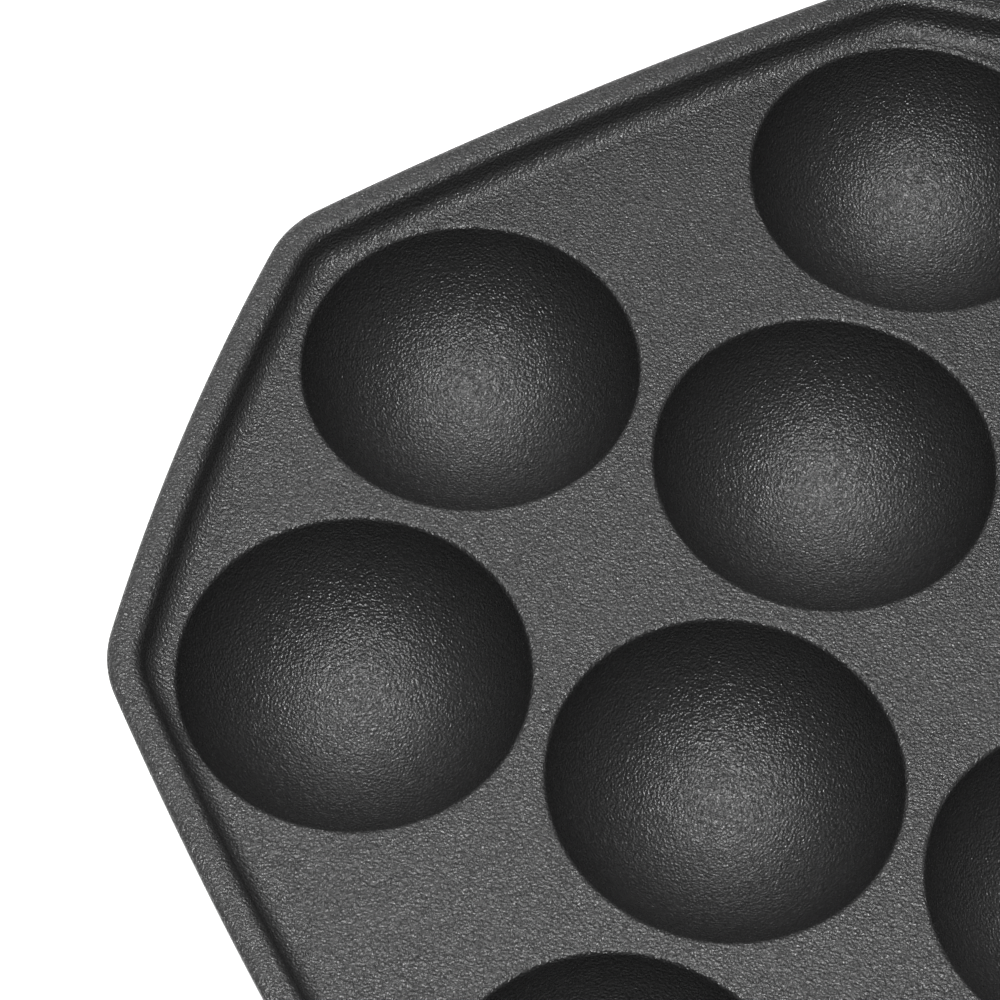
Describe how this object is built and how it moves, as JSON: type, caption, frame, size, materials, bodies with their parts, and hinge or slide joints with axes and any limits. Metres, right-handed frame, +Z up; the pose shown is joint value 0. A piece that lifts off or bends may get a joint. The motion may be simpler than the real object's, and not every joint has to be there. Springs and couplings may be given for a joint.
{
  "type": "takoyaki maker",
  "caption": "Electric takoyaki maker: octagonal cast plates with round cups in a tapered base and a hinged lid with handle and latch, lid open.",
  "frame": {"origin": "on the table, under the middle of the open maker's bounding box", "axes": "+X to the user's right, +Y to the back where the hinge is, +Z up; the lid is stored open"},
  "size_m": [0.1846, 0.3152, 0.3018],
  "materials": {
    "nonstick_plate": "satin non-stick coating on cast aluminium, fine orange-peel grain",
    "housing_plastic": "satin moulded",
    "lid_plastic": "satin moulded",
    "cover_plastic": "matt moulded",
    "foot_rubber": "matt",
    "screw_steel": "zinc plated",
    "reflector_steel": "bright pressed sheet",
    "post_steel": "turned",
    "clamp_steel": "bent sheet",
    "element_sheath": "oxidised steel sheath",
    "thermostat_body": "ceramic body",
    "fuse_body": "glass-fibre sleeve",
    "terminal_plastic": "ceramic-like moulding",
    "inlet_plastic": "moulded",
    "blade_brass": "nickel-plated brass",
    "red_lens": "translucent",
    "green_lens": "translucent",
    "bulb_glass": "clear",
    "pin_steel": "ground",
    "button_plastic": "satin moulded",
    "spring_steel": "tempered strip",
    "handle_plastic": "satin moulded",
    "latch_plastic": "satin moulded"
  },
  "bodies": {
    "base": {"lower_plate": "nonstick_plate", "base_housing": "housing_plastic", "bottom_cover": "cover_plastic", "rubber_feet": "foot_rubber", "cover_screws": "screw_steel", "lower_reflector": "reflector_steel", "lower_supports": "post_steel", "lower_clamps": "clamp_steel", "lower_element": "element_sheath", "lower_thermostat": "thermostat_body", "thermal_fuse": "fuse_body", "terminal_block": "terminal_plastic", "power_inlet": "inlet_plastic", "inlet_blades": "blade_brass", "power_lamp": "red_lens", "ready_lamp": "green_lens", "lamp_bulbs": "bulb_glass", "hinge_pins": "pin_steel", "lower_release_springs": "spring_steel"},
    "lid": {"upper_plate": "nonstick_plate", "lid_shell": "lid_plastic", "upper_reflector": "reflector_steel", "upper_supports": "post_steel", "upper_clamps": "clamp_steel", "upper_element": "element_sheath", "upper_thermostat": "thermostat_body", "upper_release_springs": "spring_steel", "lid_handle": "handle_plastic", "handle_screws": "screw_steel", "latch_pin": "pin_steel"},
    "lower_release": {"lower_release": "button_plastic"},
    "upper_release": {"upper_release": "button_plastic"},
    "latch": {"latch": "latch_plastic"}
  },
  "joints": [
    {"name": "lid_hinge", "type": "hinge", "parent": "base", "child": "lid", "pos_m": [0, 0.06988, 0.0537], "axis": [1, 0, 0], "range_deg": [0, 105]},
    {"name": "latch_pivot", "type": "hinge", "parent": "lid", "child": "latch", "pos_m": [0, 0.14678, 0.27234], "axis": [1, 0, 0], "range_deg": [0, 25]},
    {"name": "lower_release_slide", "type": "slide", "parent": "base", "child": "lower_release", "axis": [-1, 0, 0], "range_m": [0, 0.0024], "stiffness_N_per_m": 300, "springref_m": -0.003, "deforming": ["lower_release_springs"]},
    {"name": "upper_release_slide", "type": "slide", "parent": "lid", "child": "upper_release", "axis": [-1, 0, 0], "range_m": [0, 0.0024], "stiffness_N_per_m": 300, "springref_m": -0.003, "deforming": ["upper_release_springs"]}
  ]
}
